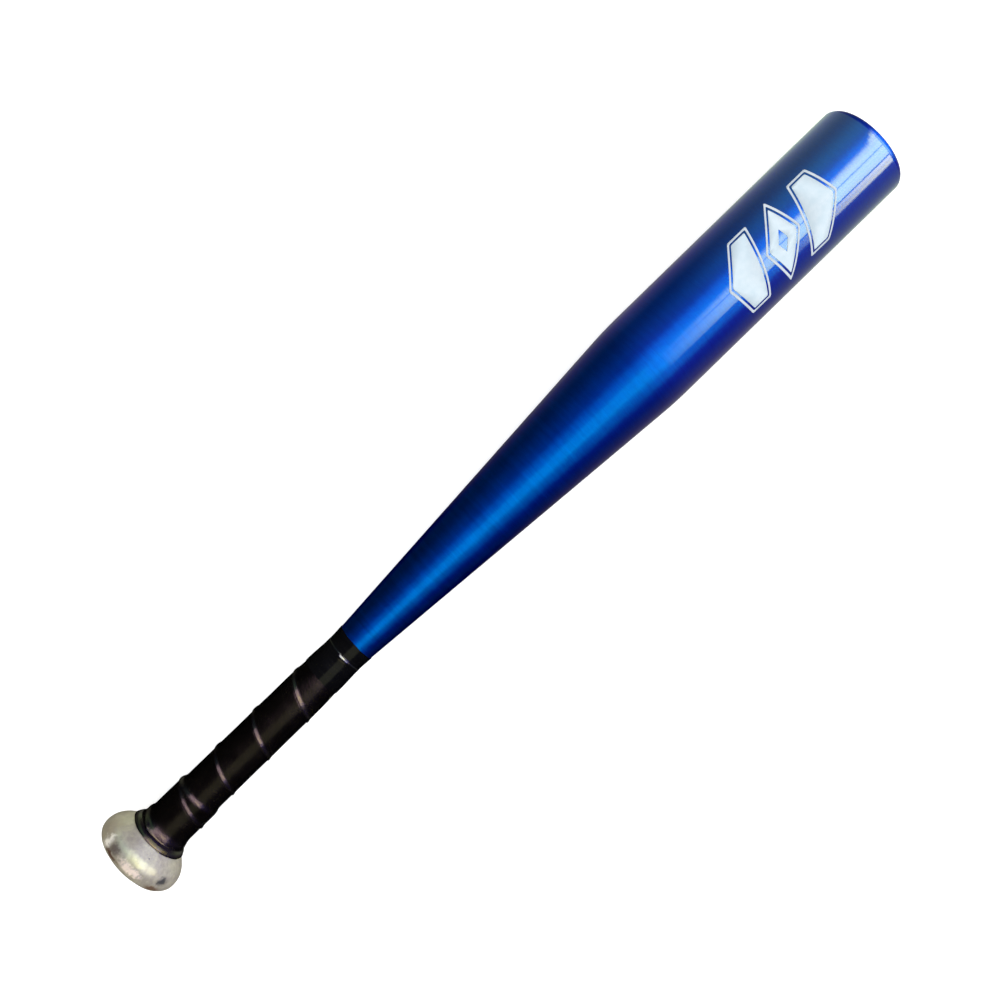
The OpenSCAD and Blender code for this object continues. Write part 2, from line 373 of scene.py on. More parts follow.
def polished_casting():
    """Hand-polished cast aluminium gone dull: satin, with streaks, cloudy stains and small pits,
    and with patches of painted reflection laid into its colour.
    """
    m = Nodes("polished_cast_aluminium")
    v = m.coords()
    cloud = m.noise(v, 90.0, 4.0, 0.6)
    stain = m.noise(m.scaled(v, (1, 1, 1), (0.3, 0.1, 0.2)), 55.0, 5.0, 0.65)
    scratch = m.noise(m.scaled(v, (300, 2600, 900)), 1.0, 3.0, 0.6)
    grain = m.noise(v, 1500.0, 2.0, 0.5)
    mottle = m.noise(v, 420.0, 4.0, 0.65)
    pits = m.voronoi(v, 220.0)
    rare = m.map(m.noise(v, 110.0, 1.0, 0.5), 0.62, 0.68)
    pit = m.product(m.map(pits, 0.05, 0.16, 1.0, 0.0), rare)
    col = m.mix(m.map(stain, 0.38, 0.66), rgb(0.50, 0.46, 0.315), rgb(0.35, 0.318, 0.21))
    col = m.mix(m.map(mottle, 0.35, 0.7, 0.0, 0.6), col, rgb(0.25, 0.215, 0.18))
    # the painted reflections: cream painted highlights and brown painted reflections of the room,
    # mixed into the colour
    for centre, size, tone, strength in PAINTED_REFLECTIONS:
        edge = m.math("ADD", m.spot(v, centre, size), m.map(mottle, 0.3, 0.7, -0.45, 0.45))
        fade = m.map(edge, 0.25, 1.25, strength, 0.0, "SMOOTHSTEP")
        col = m.mix(fade, col, tone)
    col = m.mix(pit, col, rgb(0.12, 0.10, 0.09))
    m.set(Base_Color=col, Metallic=0.45)
    rough = m.map(cloud, 0.3, 0.7, 0.32, 0.42)
    m.set(Roughness=m.math("ADD", rough, m.math("MULTIPLY", scratch, 0.08), 0.0, True))
    h = m.weigh((scratch, 0.25), (grain, 0.3), (mottle, 0.8), (pit, -2.0))
    n = m.bump(h, 0.5, 0.0001)
    m.link(m.bump(cloud, 0.5, 0.0006, n), m.b.inputs["Normal"])
    return m.mat


def leather():
    """Black synthetic leather with a fine pressed grain."""
    m = Nodes("black_grip_leather")
    v = m.coords()
    cell = m.voronoi(v, 1500.0, "SMOOTH_F1")
    grain = m.noise(v, 2600.0, 3.0, 0.6)
    fibre = m.noise(m.scaled(v, (900, 250, 250)), 1.0, 3.0, 0.6)
    cloud = m.noise(v, 120.0, 3.0, 0.55)
    col = m.mix(m.map(cloud, 0.3, 0.7), rgb(0.0003, 0.00025, 0.0002), rgb(0.0008, 0.0007, 0.0005))
    col = m.mix(m.map(grain, 0.45, 0.75), col, rgb(0.0014, 0.0011, 0.0008))
    m.set(Base_Color=col, Specular_IOR_Level=0.45, Specular_Tint=rgb(1.0, 0.8, 0.45))
    m.set(Roughness=m.map(cloud, 0.3, 0.7, 0.20, 0.28))
    h = m.weigh((cell, 0.7), (grain, 0.5))
    coarse = m.noise(v, 950.0, 2.0, 0.6)
    n = m.bump(coarse, 0.35, 0.0002, m.bump(h, 0.3, 0.0001))
    m.link(m.bump(fibre, 0.3, 0.0001, n), m.b.inputs["Normal"])
    return m.mat


def leather_edge():
    """Raw cut edge of the strip: matt felt backing."""
    m = Nodes("strip_cut_edge")
    v = m.coords()
    f = m.noise(v, 3000.0, 3.0, 0.7)
    col = m.mix(f, rgb(0.0006, 0.0005, 0.0005), rgb(0.003, 0.0026, 0.002))
    m.set(Base_Color=col, Roughness=0.85)
    m.link(m.bump(f, 0.6, 0.0002), m.b.inputs["Normal"])
    return m.mat


def vinyl():
    """Black vinyl tape, slightly glossy, with stretch lines around the handle."""
    m = Nodes("black_vinyl_tape")
    v = m.coords()
    stretch = m.noise(m.scaled(v, (700, 60, 60)), 1.0, 3.0, 0.55)
    pebble = m.noise(v, 1800.0, 2.0, 0.5)
    col = m.mix(stretch, rgb(0.0006, 0.0006, 0.0006), rgb(0.0016, 0.0015, 0.0013))
    m.set(Base_Color=col, Specular_IOR_Level=0.45, Specular_Tint=rgb(1.0, 0.9, 0.6))
    m.set(Roughness=m.map(stretch, 0.3, 0.7, 0.11, 0.18))
    h = m.weigh((stretch, 0.8), (pebble, 0.25))
    m.link(m.bump(h, 0.4, 0.0001), m.b.inputs["Normal"])
    return m.mat


def ink(name, a, b):
    """Matt screen-printed ink: a faint mesh texture and uneven cover."""
    m = Nodes(name)
    v = m.coords()
    weave = m.voronoi(v, 2600.0)
    cloud = m.noise(v, 160.0, 3.0, 0.6)
    m.set(Base_Color=m.mix(m.map(cloud, 0.35, 0.65), a, b), Specular_IOR_Level=0.0)
    m.set(Roughness=m.map(weave, 0, 1, 0.45, 0.6))
    m.link(m.bump(weave, 0.15, 0.00003), m.b.inputs["Normal"])
    return m.mat


def cap_rubber():
    m = Nodes("black_cap_rubber")
    v = m.coords()
    grain = m.noise(v, 1400.0, 3.0, 0.6)
    cloud = m.noise(v, 90.0, 3.0, 0.5)
    m.set(Base_Color=m.mix(cloud, rgb(0.012, 0.012, 0.013), rgb(0.022, 0.022, 0.024)))
    m.set(Roughness=m.map(cloud, 0.3, 0.7, 0.5, 0.65))
    m.link(m.bump(grain, 0.4, 0.00012), m.b.inputs["Normal"])
    return m.mat


def weld_metal():
    m = Nodes("ground_weld")
    v = m.coords()
    g = m.noise(m.scaled(v, (1800, 200, 200)), 1.0, 3.0, 0.6)
    m.set(Base_Color=m.mix(g, rgb(0.5, 0.5, 0.5), rgb(0.65, 0.64, 0.62)), Metallic=1.0)
    m.set(Roughness=m.map(g, 0.3, 0.7, 0.35, 0.5))
    m.link(m.bump(g, 0.3, 0.0001), m.b.inputs["Normal"])
    return m.mat


BLUE = candy_blue()
CAST = polished_casting()
LEATHER = leather()
EDGE = leather_edge()
VINYL = vinyl()
INK = ink("white_ink", rgb(0.44, 0.53, 0.59), rgb(0.50, 0.575, 0.63))
INK_LINE = ink("white_border_ink", rgb(0.40, 0.45, 0.50), rgb(0.48, 0.525, 0.565))
RUBBER = cap_rubber()
WELD = weld_metal()


# ---------------------------------------------------------------- tube

# stations of the recess's floor and of the lip's back
seat = LENGTH - CAP_DEPTH
lip_back = seat - BARREL_WALL
lip = [
    (LENGTH, CAP_SEAT_R + 0.5), (LENGTH - 0.15, CAP_SEAT_R + 0.12), (LENGTH - 0.5, CAP_SEAT_R),
    (seat + 0.3, CAP_SEAT_R), (seat, CAP_SEAT_R - 0.3),
    (seat, CAP_HOLE_R + 0.2), (seat - 0.2, CAP_HOLE_R), (lip_back, CAP_HOLE_R),
    (lip_back, CAP_SEAT_R + BARREL_WALL), (LENGTH - BARREL_WALL, CAP_SEAT_R + BARREL_WALL),
]
bore_r = HANDLE_R - HANDLE_WALL
inside_r = BARREL_R - BARREL_WALL
inside = densify(
    arc(LENGTH - END_CORNER, BARREL_R - END_CORNER, END_CORNER - BARREL_WALL, 0, 90, 6)
    + [(TAPER[1] + 2, inside_r), (TAPER[0] - 2, bore_r), (TUBE_START, bore_r)], 30.0)
tube = lathe("tube", densify(tube_outside, 6.0) + lip + inside, TUBE_SEGS, [BLUE])
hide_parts("barrel_tube")

# ---------------------------------------------------------------- end cap

# stations where the catch and the skirt behind it end
catch_end = lip_back - 2.1
skirt_end = lip_back - 7.1
catch_r = CAP_HOLE_R + 1.55
cap_outline = (
    [(seat + FIT_GAP, CAP_HOLE_R - FIT_GAP), (seat + FIT_GAP, CAP_SEAT_R - 0.3)]
    + arc(LENGTH - 1.0, CAP_SEAT_R - 0.7, 0.6, 90, 0, 5)
    + [(LENGTH - 0.4, 14.6), (LENGTH - 0.9, 14.3), (LENGTH - 0.9, 13.7), (LENGTH - 0.4, 13.4)]
    + [(LENGTH - 0.25, 9.0), (LENGTH - 0.2, 3.2), (LENGTH - 0.7, 2.7), (LENGTH - 0.8, 0.0)]
    + [(catch_end, 0.0), (catch_end, 9.0), (skirt_end, 9.6), (skirt_end, CAP_HOLE_R - 2.0)]
    + [(catch_end, catch_r), (lip_back - 0.1, catch_r), (lip_back - 0.1, CAP_HOLE_R - FIT_GAP)]
)
cap = lathe("barrel_cap", densify(cap_outline, 1.5), SEGS, [RUBBER], sharp=math.radians(35))
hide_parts("end_cap")

# ---------------------------------------------------------------- knob

def cast_wobble(s, r, a):
    """Unevenness of a hand-ground casting, in mm; none where it meets the tube."""
    keep = smooth((26.0 - s) / 8.0)
    p = Vector((s, r * math.sin(a), r * math.cos(a)))
    d = 0.30 * noise.noise(p * 0.055) + 0.12 * noise.noise(p * 0.16 + Vector((5, 1, 2)))
    d += 0.035 * noise.noise(p * 0.5 + Vector((1, 7, 3)))
    d = (d - 0.06) * keep
    # the end face is only dented, so that the knob gets no longer
    dent = abs(d * 0.6) if s < 1 else 0.0
    return s + dent, r + d * smooth(r / 12.0)


spigot_end = TUBE_START + SPIGOT_LENGTH
spigot_r = bore_r - FIT_GAP
neck_face = TUBE_START - FIT_GAP
knob_outline = (
    [(0.0, 0.0)] + [(0.0, r) for r in (3, 6, 9, 12, 15, 17)]
    + densify(knob_outside, 1.0)
    + [(neck_face, HANDLE_R - 1.3), (neck_face, spigot_r)]
    + [(spigot_end - 1.5, spigot_r), (spigot_end, spigot_r - 1.5), (spigot_end, BLIND_BORE_R)]
    + [(TUBE_START, BLIND_BORE_R), (TUBE_START - 3, 0.0)]
)
knob = lathe("knob_casting", knob_outline, KNOB_SEGS, [CAST], wobble=cast_wobble)
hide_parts("knob")

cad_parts["weld_bead"].data.materials.clear()
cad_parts["weld_bead"].data.materials.append(WELD)

# ---------------------------------------------------------------- grip

# stations where the square turn and the spiral start and end
BAND = (18.7, 51.0)
WRAP = (22.2, 148.0)
# the strip's end under the tape: the station where it starts to thin, over what length, share left
SKIVE = (125.0, 20.0, 0.30)
# the strip: its width, its thickness, what is left at a pared edge and the length of the paring
WIDTH, THICK, THIN_UNDER, PARE = 33.0, 1.0, 0.25, 1.9
# height and length of the ridge where the strip climbs over the turn below
RIDGE, RIDGE_RUN = 0.58, 2.4
# top seams: the first one's station, the first pitch, and its growth from turn to turn
SEAM_FIRST, SEAM_PITCH, SEAM_GROWTH = 43.0, 23.4, 1.2
# gaps between leather and metal, and between two layers of leather
GAP = 0.05
LAP_GAP = 0.08
# the square turn swells where it is pulled over the knob's neck: (station, extra thickness)
SWELL = [(18.7, 0.0), (19.2, -0.05), (20.0, 0.34), (20.8, 0.66), (21.3, 0.58), (21.8, 0.14),
         (22.2, 0.0)]


def band_top(s):
    """Radius of the square turn's top at station s: rounded at its start, pared at its end."""
    near = 0.5 + 0.5 * smooth((s - BAND[0]) / 0.6)
    far = max(0.1, smooth((BAND[1] + 0.4 - s) / 3.2))
    swell = interp(SWELL, s) if s < SWELL[-1][0] else 0.0
    return metal(s) + GAP + THICK * min(1.0, near, far) + swell


def under_wrap(s):
    """Radius that the spiral is wound on at station s, over the square turn and past it."""
    if s < BAND[1]:
        return band_top(s) + GAP
    # past the square turn the strip settles on the handle
    return metal(s) + GAP + 0.15 - 0.10 * smooth((s - BAND[1]) / 2.5)


def skive(s):
    """Share of the strip's thickness left at station s, where it goes under the tape."""
    start, length, left = SKIVE
    return 1 - (1 - left) * smooth((s - start) / length)


def edge_at(t):
    """Station of the strip's lower edge after t turns, with turn 0 at the first top seam."""
    return SEAM_FIRST + SEAM_PITCH * t + SEAM_GROWTH * t * t


def turn_at(s):
    """Turn at which the strip's lower edge reaches station s."""
    k = SEAM_PITCH ** 2 + 4 * SEAM_GROWTH * (s - SEAM_FIRST)
    return (-SEAM_PITCH + math.sqrt(k)) / (2 * SEAM_GROWTH)


def band_wobble(s, r, a):
    """The square turn's uneven edge and surface."""
    p = Vector((s, r * math.sin(a), r * math.cos(a)))
    near = 1 - smooth((s - BAND[0]) / 3.0)
    shifted = s + near * 0.45 * noise.noise(Vector((a * 2.2, 3.0, 1.0)))
    return shifted, r + 0.05 * noise.noise(p * 0.35)


stations = [BAND[0] + (BAND[1] - BAND[0]) * i / 60 for i in range(61)]
band_outline = [(s, band_top(s)) for s in stations]
band_outline[0] = (BAND[0] + 0.25, band_top(BAND[0]) - 0.02)
band_outline.insert(0, (BAND[0], band_top(BAND[0]) - 0.3))
band_outline += [(s, metal(s) + GAP) for s in reversed(stations[::3])]
band = lathe("grip_band", band_outline, SEGS, [LEATHER], wobble=band_wobble)
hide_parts("grip_start_band")

# sections of the strip in one turn
STEPS = 96
first_turn = turn_at(WRAP[0]) - 1
last_turn = turn_at(WRAP[1] - 2.5)


def strip_low(s, ov, up):
    """Height over the bed of the underside, s mm from the strip's lower edge; ov is the overlap on
    the turn below, and up is 0 where there is none."""
    if s < ov:
        return up * (THIN_UNDER + (THICK - THIN_UNDER) * (1 - smooth(s / PARE)) + LAP_GAP)
    return up * (THIN_UNDER + LAP_GAP) * (1 - smooth((s - ov) / 1.6))


def strip_high(s, ov, ov2, up):
    """Height over the bed of the strip's top: a rolled edge, a ridge over the turn below, then
    flat, and pared where the next turn overlaps it by ov2."""
    top = THICK
    if s > WIDTH - ov2:
        top = THIN_UNDER + (THICK - THIN_UNDER) * (1 - smooth((s - WIDTH + ov2) / PARE))
    ridge = up * RIDGE * (1 - ease((s - 0.3) / RIDGE_RUN))
    ridge += up * 0.06 * (1 - smooth((s - ov) / 4))
    roll = 0.3 * (1 - smooth(s / 0.45)) ** 2
    return top + ridge - roll


def strip_rows(t):
    """The strip's section after t turns: station and radius of each point, underside first."""
    e = edge_at(t)
    ov = WIDTH - (e - edge_at(t - 1))
    ov2 = WIDTH - (edge_at(t + 1) - e)
    up = smooth((t - first_turn - 0.90) / 0.10)
    across = [0, 0.08, 0.2, 0.35, 0.55, 0.75, 0.95, 1.15, 1.35, 1.6, 1.85, 2.15, 2.6, 3.4, 4.6]
    across += [6.0, 7.4, 8.8, 10.4, 12.2, 14.2, 16.4, 18.6, 20.6, 22.0, 23.2, 24.2, 25.2, 26.2]
    across += [27.2, 28.2, 29.2, 30.4, 31.6, 33.0]
    last = len(across) - 1
    low, high = max(0.0, WRAP[0] - e), min(WIDTH, WRAP[1] - e)
    kept = [min(max(q, low + i * 0.05), high - (last - i) * 0.05) for i, q in enumerate(across)]
    wave = 0.22 * noise.noise(Vector((t * 3.1, 0.0, 7.0)))
    rows = []
    for q in kept:
        h = under_wrap(e + q) + skive(e + q) * strip_low(q, ov, up)
        rows.append((e + q + wave * (1 - smooth(q / 3)), h))
    for q in reversed(kept):
        h = under_wrap(e + q) + skive(e + q) * strip_high(q, ov, ov2, up)
        if low > 0:
            # the strip's start is cut to a point and pressed down
            h -= 0.55 * (1 - smooth((q - low) / 2.2)) + 0.12 * (1 - smooth((q - low) / 0.3))
        rows.append((e + q + wave * (1 - smooth(q / 3)), h))
    return rows


def leather_top(s, a):
    """Top of the wound leather at station s and angle a, where it goes under the tape."""
    best = metal(s)
    for k in range(6):
        t = a / (2 * math.pi) + k - 1
        if t > last_turn or not 0 <= s - edge_at(t) <= WIDTH or s > WRAP[1]:
            continue
        e = edge_at(t)
        ov, ov2 = WIDTH - (e - edge_at(t - 1)), WIDTH - (edge_at(t + 1) - e)
        best = max(best, under_wrap(s) + skive(s) * strip_high(s - e, ov, ov2, 1.0))
    return best


def spiral_grip():
    """The spiral turns as one closed strip, with felt on its underside and along its cut edges."""
    n = math.ceil((last_turn - first_turn) * STEPS)
    verts, faces = [], []
    for i in range(n + 1):
        t = first_turn + i / STEPS
        a = 2 * math.pi * t
        rows = strip_rows(t)
        for k, (s, r) in enumerate(rows):
            if k >= len(rows) // 2:
                p = Vector((s, r * math.sin(a), r * math.cos(a)))
                r += 0.035 * noise.noise(p * 0.30) + 0.015 * noise.noise(p * 0.9)
            verts.append(around(s, r, a))
    m = len(rows)
    for i in range(n):
        for j in range(m):
            k = (j + 1) % m
            faces.append((i * m + j, i * m + k, (i + 1) * m + k, (i + 1) * m + j))
    faces.append(tuple(range(m))[::-1])
    faces.append(tuple(n * m + j for j in range(m)))
    ob = finish_mesh("grip_spiral", verts, faces, [LEATHER, EDGE], sharp=math.radians(60))
    half = m // 2
    for p in ob.data.polygons[: n * m]:
        j = p.index % m
        if j < half or j == m - 1:
            p.material_index = 1
    return ob


spiral = spiral_grip()
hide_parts("grip_wrap")

# ---------------------------------------------------------------- finishing tape

# stations where the upper turn starts and ends, and where the lower one ends
TAPE = (139.0, 156.0, 165.0)
TAPE_T = 0.15
# the slope the taut tape keeps: the station where it starts, its length, its height over the metal
TAUT = (141.0, 15.0, 0.55)
# height of the wrinkle in the upper turn, how far it is from the top and how wide it is
WRINKLE = 0.5
WRINKLE_AT = math.radians(10)
WRINKLE_SPAN = math.radians(22)


def tape_bed():
    """What the tape is pulled down on, by station and angle: the leather, widened and smoothed."""
    n, step, margin = SEGS, 0.35, 3
    count = int((TAPE[2] - TAPE[0] + 2 * margin) / step) + 1
    s_list = [TAPE[0] - margin + step * i for i in range(count)]
    grid = [[leather_top(s, 2 * math.pi * k / n) for k in range(n)] for s in s_list]
    m = len(s_list)

    def spread(rows, pick, along, about):
        """Each cell of rows replaced with pick of the cells at the given offsets from it."""
        return [[pick([rows[min(m - 1, max(0, i + di))][(k + dk) % n]
                       for di in along for dk in about]) for k in range(n)] for i in range(m)]

    wide = spread(grid, max, range(-2, 3), (-2, 0, 2))
    soft = spread(wide, lambda cells: sum(cells) / len(cells), range(-4, 7), (-3, 0, 3))

    def at(s, a):
        i = min(m - 2, max(0, int((s - s_list[0]) / step)))
        f = (s - s_list[i]) / step
        k = round(a / (2 * math.pi) * n) % n
        start, length, height = TAUT
        pulled = height * (1 - smooth((s - start) / length))
        return max(soft[i][k] * (1 - f) + soft[i + 1][k] * f, metal(s) + pulled)
    return at


def tape_turns():
    """Two turns of tape; every outline point is a station and a height over the tape's bed."""
    bed = tape_bed()
    s0, s1, s2 = TAPE
    st = [s0 + (s2 - s0) * i / 72 for i in range(73)]
    st = sorted(set(st + [s1 + d for d in (0.05, 0.1, 0.18, 0.26, 0.36)]))
    outer = [(s, 0.04 + TAPE_T * (2 - smooth((s - s1) / 0.35))) for s in st]
    inner = [(s, 0.02) for s in reversed(st[::4])]

    def lay(s, height, a):
        near = min(abs(s - s0), abs(s - s1), abs(s - s2))
        lean = 0.5 * math.sin(a + 0.4) + 0.2 * noise.noise(Vector((a * 3, 1.0, 0.0)))
        shifted = s + lean * (1 - smooth(near / 2.5))
        r = bed(s, a) + height
        if height > 0.03:
            p = Vector((s, r * math.sin(a), r * math.cos(a)))
            r += 0.02 * noise.noise(p * 0.4)
            # a wrinkle where the upper turn's cut end is pressed down
            turn = (a + math.pi) % (2 * math.pi) - math.pi + WRINKLE_AT
            here = math.exp(-(turn / WRINKLE_SPAN) ** 4)
            rise = (s - s1 + 1.1 + turn * 1.2) / 0.9
            r += WRINKLE * here * math.exp(-(rise if rise < 0 else rise * 0.75) ** 2)
        return shifted, r
    return lathe("tape_turns", outer + inner, SEGS, [VINYL], wobble=lay)


tape = tape_turns()
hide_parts("finishing_tape")

# ---------------------------------------------------------------- printed marks

# the middle mark's station, the marks' pitch, and their size along and around the barrel
PRINT_S, MARK_PITCH, MARK_W, MARK_H = 466.0, 26.0, 18.6, 34.0
# how far the print is turned down from the top, mm of arc, and the marks' slant, degrees
PRINT_TURN, SLANT = 5.0, 19.0
BORDER_GAP, BORDER = 1.1, 1.15
FILL_CORNER, HOLE_CORNER, BORDER_CORNER = 0.8, 0.4, 1.0
INK_T = 0.12
# how far the ink reaches into the barrel, in metres
INK_SINK = 0.00002
# width of the strips that make the flat marks fine enough to bend round the barrel
INK_STRIP = 0.6


def grown(p, d):
    """A closed outline moved outwards by d."""
    out = []
    for i in range(len(p)):
        a = Vector(p[i]) - Vector(p[i - 1])
        b = Vector(p[(i + 1) % len(p)]) - Vector(p[i])
        na, nb = Vector((-a.y, a.x)).normalized(), Vector((-b.y, b.x)).normalized()
        out.append(tuple(Vector(p[i]) + d * (na + nb) / (1 + na.dot(nb))))
    return out


def rounded(p, r):
    """Rounds the corners of a closed outline."""
    out = []
    for i in range(len(p)):
        c = Vector(p[i])
        a, b = Vector(p[i - 1]) - c, Vector(p[(i + 1) % len(p)]) - c
        t = min(r, a.length * 0.3, b.length * 0.3)
        pa, pb = c + a.normalized() * t, c + b.normalized() * t
        for k in range(5):
            u = k / 4
            out.append(tuple(pa * (1 - u) ** 2 + c * 2 * u * (1 - u) + pb * u * u))
    return out


def ink_area(bm, loops, index):
    """Fills the area between an outer and any inner loops, cut into narrow strips across y."""
    polys = [[Vector((x, y, 0)) for x, y in loop] for loop in loops]
    flat = [v for poly in polys for v in poly]
    part = bmesh.new()
    vs = [part.verts.new(v) for v in flat]
    for tri in tessellate_polygon(polys):
        part.faces.new([vs[i] for i in tri])
    lo, hi = min(v.y for v in flat), max(v.y for v in flat)
    for i in range(1, int((hi - lo) / INK_STRIP) + 1):
        geom = part.verts[:] + part.edges[:] + part.faces[:]
        cut = (0, lo + i * INK_STRIP, 0)
        bmesh.ops.bisect_plane(part, geom=geom, plane_co=cut, plane_no=(0, 1, 0))
    me = bpy.data.meshes.new("ink_part")
    part.to_mesh(me)
    part.free()
    start = len(bm.faces)
    bm.from_mesh(me)
    bpy.data.meshes.remove(me)
    bm.faces.ensure_lookup_table()
    for f in bm.faces[start:]:
        f.material_index = index


def mark(name, node, outline, at, hole=None):
    """A filled shape with a border line, wrapped on the barrel at station at."""
    bm = bmesh.new()
    fill = [rounded(outline, FILL_CORNER)]
    if hole:
        fill.append(rounded(hole, HOLE_CORNER)[::-1])
    ink_area(bm, fill, 0)
    outer = rounded(grown(outline, BORDER_GAP + BORDER), BORDER_CORNER)
    inner = rounded(grown(outline, BORDER_GAP), FILL_CORNER)
    ink_area(bm, [outer, inner[::-1]], 1)
    bmesh.ops.remove_doubles(bm, verts=bm.verts, dist=1e-4)
    bmesh.ops.recalc_face_normals(bm, faces=bm.faces)
    tan = math.tan(math.radians(SLANT))
    for v in bm.verts:
        a = (v.co.y + PRINT_TURN) / BARREL_R
        s = at + v.co.x - v.co.y * tan
        v.co = Vector(around(s, BARREL_R + INK_T, -a))
    me = bpy.data.meshes.new(name)
    bm.to_mesh(me)
    bm.free()
    ob = bpy.data.objects.new(name, me)
    bpy.context.collection.objects.link(ob)
    me.materials.append(INK)
    me.materials.append(INK_LINE)
    me.shade_smooth()
    if sum(p.normal.z for p in me.polygons) <= 0:
        me.flip_normals()
    mod = ob.modifiers.new("thickness", "SOLIDIFY")
    mod.thickness = INK_T / 1000 + INK_SINK
    mod.offset = -1
    mod.use_even_offset = True
    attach(ob, "root")
    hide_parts(node)


hw, hh = MARK_W / 2, MARK_H / 2
plate = [(-hw, hh), (0, hh), (hw, 0), (0, -hh), (-hw, -hh)]
plate_back = [(-x, y) for x, y in reversed(plate)]
diamond = [(0, hh), (hw, 0), (0, -hh), (-hw, 0)]
diamond_hole = [(x * 0.34, y * 0.34) for x, y in diamond]
mark("mark_left", "print_left", plate_back, PRINT_S - MARK_PITCH)
mark("mark_middle", "print_middle", diamond, PRINT_S, diamond_hole)
mark("mark_right", "print_right", plate, PRINT_S + MARK_PITCH)

# ---------------------------------------------------------------- stage

# in metres: half the floor's side, the softbox's sides and its place
FLOOR_HALF = 6.0
SOFTBOX_SIZE = (2.4, 1.6)
SOFTBOX_AT = (0.5, -0.4, 2.0)
SOFTBOX_WATTS = 26.0
# brightness of the white that matt surfaces see all round
AMBIENT = 1.15


def floor():
    me = bpy.data.meshes.new("floor")
    r = FLOOR_HALF
    me.from_pydata([(-r, -r, 0), (r, -r, 0), (r, r, 0), (-r, r, 0)], [], [(0, 1, 2, 3)])
    ob = bpy.data.objects.new("floor", me)
    bpy.context.collection.objects.link(ob)
    m = Nodes("pale_floor")
    v = m.coords()
    c = m.noise(v, 3.0, 3.0, 0.5)
    m.set(Base_Color=m.mix(c, rgb(0.86, 0.86, 0.86), rgb(0.88, 0.88, 0.88)), Roughness=0.9)
    m.set(Emission_Color=rgb(1.0, 1.0, 1.0), Emission_Strength=0.3)
    me.materials.append(m.mat)
    ob.visible_glossy = False


floor()


def softbox():
    """A large even light overhead for the matt surfaces; it leaves no reflection of its own."""
    li = bpy.data.lights.new("softbox", "AREA")
    li.shape = "RECTANGLE"
    li.size, li.size_y = SOFTBOX_SIZE
    li.energy = SOFTBOX_WATTS
    ob = bpy.data.objects.new("softbox", li)
    bpy.context.collection.objects.link(ob)
    ob.location = SOFTBOX_AT
    ob.rotation_euler = (-ob.location).to_track_quat("-Z", "Y").to_euler()
    ob.visible_glossy = False


